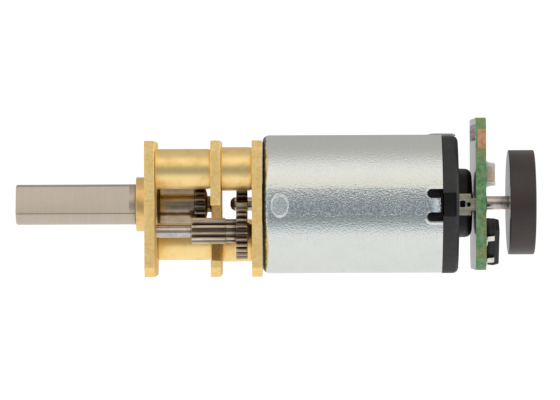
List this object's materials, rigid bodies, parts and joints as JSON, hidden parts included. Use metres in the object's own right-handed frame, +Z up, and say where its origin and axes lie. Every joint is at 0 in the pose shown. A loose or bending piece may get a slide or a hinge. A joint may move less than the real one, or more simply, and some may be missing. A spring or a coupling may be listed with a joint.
{
  "type": "geared dc motor",
  "caption": "Small brushed dc motor with an open brass spur gearbox, a D-shaped output shaft and a magnetic encoder on its rear shaft.",
  "frame": {"origin": "on the shaft axis, in the front face of the gearbox's front plate, midway between the two mounting holes", "axes": "+X along the shaft axis from the output shaft to the encoder, Y across the gearbox's 12 mm width, +Z up through the encoder board's header end"},
  "size_m": [0.0387, 0.012, 0.0116],
  "materials": {
    "brass_plate": "satin",
    "brass_post": "satin",
    "axle_steel": "polished",
    "screw_steel": "satin",
    "shaft_steel": "satin",
    "gear_steel": "satin",
    "clip_steel": "satin",
    "can_zinc": "satin",
    "core_steel": "matte",
    "copper": "satin",
    "collar_plastic": "matte",
    "washer_plastic": "matte",
    "disc_magnet": "matte",
    "ferrite": "matte",
    "bearing_bronze": "satin",
    "cap_plastic": "matte",
    "terminal_metal": "satin",
    "brush_bronze": "satin",
    "board_green": "gloss",
    "chip_black": "matte",
    "tin": "satin",
    "capacitor_tan": "matte",
    "resistor_black": "gloss",
    "pad_gold": "polished"
  },
  "bodies": {
    "gearmotor_frame": {"front_plate": "brass_plate", "middle_plate": "brass_plate", "rear_plate": "brass_plate", "output_bush": "brass_post", "front_post_upper": "brass_post", "front_post_lower": "brass_post", "rear_post_upper": "brass_post", "rear_post_lower": "brass_post", "idler_axle": "axle_steel", "motor_screws": "screw_steel", "motor_can": "can_zinc", "field_magnets": "ferrite", "magnet_springs": "axle_steel", "front_bearing": "bearing_bronze", "end_cap": "cap_plastic", "rear_bearing": "bearing_bronze", "terminals": "terminal_metal", "brush_arms": "brush_bronze", "encoder_board": "board_green", "hall_sensors": "chip_black", "hall_sensor_leads": "tin", "capacitor_bodies": "capacitor_tan", "capacitor_ends": "tin", "resistors": "resistor_black", "header_pads": "pad_gold", "solder_joints": "tin"},
    "rotor": {"rotor_shaft": "axle_steel", "motor_pinion": "gear_steel", "armature_core": "core_steel", "armature_windings": "copper", "commutator_collar": "collar_plastic", "commutator_segments": "copper", "thrust_washers": "washer_plastic", "encoder_magnet": "disc_magnet"},
    "idler": {"idler_pinion": "shaft_steel", "idler_gear": "gear_steel"},
    "output": {"output_shaft": "shaft_steel", "output_gear": "gear_steel", "retaining_clip": "clip_steel"}
  },
  "joints": [
    {"name": "rotor_spin", "type": "hinge", "parent": "gearmotor_frame", "child": "rotor", "pos_m": [0, 0, 0], "axis": [1, 0, 0], "continuous": true},
    {"name": "idler_spin", "type": "hinge", "parent": "gearmotor_frame", "child": "idler", "pos_m": [0, -0.00213, -0.002], "axis": [1, 0, 0], "continuous": true},
    {"name": "output_spin", "type": "hinge", "parent": "gearmotor_frame", "child": "output", "pos_m": [0, 0, 0], "axis": [1, 0, 0], "continuous": true}
  ],
  "couplings": [
    {"joint": "idler_spin", "follows": "rotor_spin", "ratio": -0.5},
    {"joint": "output_spin", "follows": "rotor_spin", "ratio": 0.19643}
  ]
}
